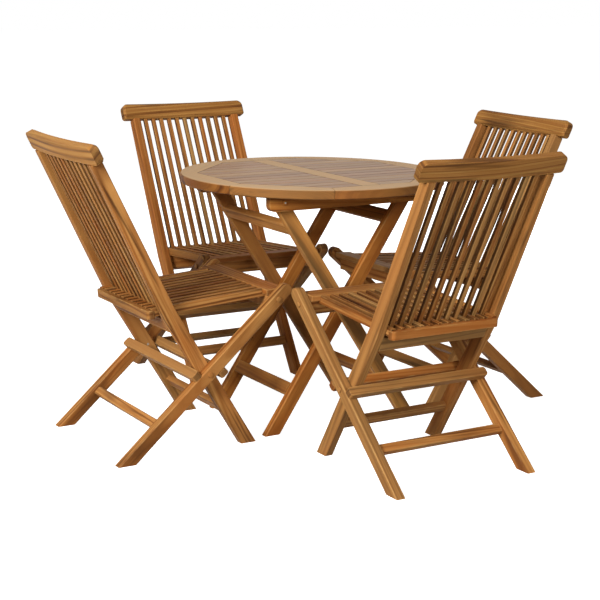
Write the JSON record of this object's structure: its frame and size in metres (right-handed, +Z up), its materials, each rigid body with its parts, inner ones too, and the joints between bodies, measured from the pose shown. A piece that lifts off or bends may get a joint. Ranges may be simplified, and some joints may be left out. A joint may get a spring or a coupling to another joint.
{
  "type": "patio dining set",
  "caption": "Round folding slatted table with an X base and folding slatted chairs whose seat and back slats interleave, all in wood.",
  "frame": {"origin": "on the ground under the centre of the table top, which is also the middle of the ring of chairs", "axes": "+Z up; the table's slats and its folding frames lie along X, its centre board along Y; chairs stand on +X, -X, +Y and -Y facing the table"},
  "size_m": [1.6706, 1.8006, 0.8937],
  "materials": {
    "oiled_teak": "oiled teak, satin",
    "weathered_teak": "paler dry teak, matt",
    "bolt_steel": "plain bright steel"
  },
  "bodies": {
    "table_base": {"table_outer_legs": "oiled_teak", "table_outer_rails": "oiled_teak"},
    "table_inner_frame": {"table_inner_legs": "oiled_teak", "table_inner_rails": "oiled_teak", "table_cross_bolts": "bolt_steel"},
    "table_top": {"table_rim": "weathered_teak", "table_centre_board": "weathered_teak", "table_slats": "weathered_teak", "table_battens": "oiled_teak", "table_bearers": "oiled_teak", "table_hinge_bolts": "bolt_steel"},
    "north_chair_back": {"north_chair_stiles": "oiled_teak", "north_chair_head_rail": "oiled_teak", "north_chair_back_slats": "oiled_teak", "north_chair_back_rails": "oiled_teak"},
    "north_chair_leg_frame": {"north_chair_legs": "oiled_teak", "north_chair_leg_rails": "oiled_teak", "north_chair_bolts": "bolt_steel"},
    "north_chair_seat": {"north_chair_seat_rails": "oiled_teak", "north_chair_seat_slats": "oiled_teak", "north_chair_seat_front_board": "oiled_teak", "north_chair_seat_apron": "oiled_teak", "north_chair_seat_rear_board": "oiled_teak"},
    "west_chair_back": {"west_chair_stiles": "oiled_teak", "west_chair_head_rail": "oiled_teak", "west_chair_back_slats": "oiled_teak", "west_chair_back_rails": "oiled_teak"},
    "west_chair_leg_frame": {"west_chair_legs": "oiled_teak", "west_chair_leg_rails": "oiled_teak", "west_chair_bolts": "bolt_steel"},
    "west_chair_seat": {"west_chair_seat_rails": "oiled_teak", "west_chair_seat_slats": "oiled_teak", "west_chair_seat_front_board": "oiled_teak", "west_chair_seat_apron": "oiled_teak", "west_chair_seat_rear_board": "oiled_teak"},
    "south_chair_back": {"south_chair_stiles": "oiled_teak", "south_chair_head_rail": "oiled_teak", "south_chair_back_slats": "oiled_teak", "south_chair_back_rails": "oiled_teak"},
    "south_chair_leg_frame": {"south_chair_legs": "oiled_teak", "south_chair_leg_rails": "oiled_teak", "south_chair_bolts": "bolt_steel"},
    "south_chair_seat": {"south_chair_seat_rails": "oiled_teak", "south_chair_seat_slats": "oiled_teak", "south_chair_seat_front_board": "oiled_teak", "south_chair_seat_apron": "oiled_teak", "south_chair_seat_rear_board": "oiled_teak"},
    "east_chair_back": {"east_chair_stiles": "oiled_teak", "east_chair_head_rail": "oiled_teak", "east_chair_back_slats": "oiled_teak", "east_chair_back_rails": "oiled_teak"},
    "east_chair_leg_frame": {"east_chair_legs": "oiled_teak", "east_chair_leg_rails": "oiled_teak", "east_chair_bolts": "bolt_steel"},
    "east_chair_seat": {"east_chair_seat_rails": "oiled_teak", "east_chair_seat_slats": "oiled_teak", "east_chair_seat_front_board": "oiled_teak", "east_chair_seat_apron": "oiled_teak", "east_chair_seat_rear_board": "oiled_teak"}
  },
  "joints": [
    {"name": "table_top_tilt", "type": "hinge", "parent": "table_base", "child": "table_top", "pos_m": [-0.231, 0, 0.702], "axis": [0, -1, 0], "range_deg": [0, 116]},
    {"name": "table_leg_fold", "type": "hinge", "parent": "table_base", "child": "table_inner_frame", "pos_m": [0, 0, 0.35476], "axis": [0, -1, 0], "range_deg": [0, 60]},
    {"name": "north_chair_slide", "type": "slide", "parent": "table_base", "child": "north_chair_back", "axis": [0, 1, 0], "range_m": [0, 0.35]},
    {"name": "north_chair_leg_fold", "type": "hinge", "parent": "north_chair_back", "child": "north_chair_leg_frame", "pos_m": [0, 0.53573, 0.22891], "axis": [-1, 0, 0], "range_deg": [0, 65]},
    {"name": "north_chair_seat_fold", "type": "hinge", "parent": "north_chair_leg_frame", "child": "north_chair_seat", "pos_m": [0, 0.31572, 0.42391], "axis": [1, 0, 0], "range_deg": [0, 111]},
    {"name": "west_chair_slide", "type": "slide", "parent": "table_base", "child": "west_chair_back", "axis": [-1, 0, 0], "range_m": [0, 0.35]},
    {"name": "west_chair_leg_fold", "type": "hinge", "parent": "west_chair_back", "child": "west_chair_leg_frame", "pos_m": [-0.47074, 0, 0.22891], "axis": [0, -1, 0], "range_deg": [0, 65]},
    {"name": "west_chair_seat_fold", "type": "hinge", "parent": "west_chair_leg_frame", "child": "west_chair_seat", "pos_m": [-0.25072, 0, 0.42391], "axis": [0, 1, 0], "range_deg": [0, 111]},
    {"name": "south_chair_slide", "type": "slide", "parent": "table_base", "child": "south_chair_back", "axis": [0, -1, 0], "range_m": [0, 0.35]},
    {"name": "south_chair_leg_fold", "type": "hinge", "parent": "south_chair_back", "child": "south_chair_leg_frame", "pos_m": [0, -0.53573, 0.22891], "axis": [1, 0, 0], "range_deg": [0, 65]},
    {"name": "south_chair_seat_fold", "type": "hinge", "parent": "south_chair_leg_frame", "child": "south_chair_seat", "pos_m": [0, -0.31572, 0.42391], "axis": [-1, 0, 0], "range_deg": [0, 111]},
    {"name": "east_chair_slide", "type": "slide", "parent": "table_base", "child": "east_chair_back", "axis": [1, 0, 0], "range_m": [0, 0.35]},
    {"name": "east_chair_leg_fold", "type": "hinge", "parent": "east_chair_back", "child": "east_chair_leg_frame", "pos_m": [0.47074, 0, 0.22891], "axis": [0, 1, 0], "range_deg": [0, 65]},
    {"name": "east_chair_seat_fold", "type": "hinge", "parent": "east_chair_leg_frame", "child": "east_chair_seat", "pos_m": [0.25072, 0, 0.42391], "axis": [0, -1, 0], "range_deg": [0, 111]}
  ],
  "couplings": [
    {"joint": "table_leg_fold", "follows": "table_top_tilt", "ratio": 0.51724},
    {"joint": "north_chair_seat_fold", "follows": "north_chair_leg_fold", "ratio": 1.7},
    {"joint": "west_chair_seat_fold", "follows": "west_chair_leg_fold", "ratio": 1.7},
    {"joint": "south_chair_seat_fold", "follows": "south_chair_leg_fold", "ratio": 1.7},
    {"joint": "east_chair_seat_fold", "follows": "east_chair_leg_fold", "ratio": 1.7}
  ]
}
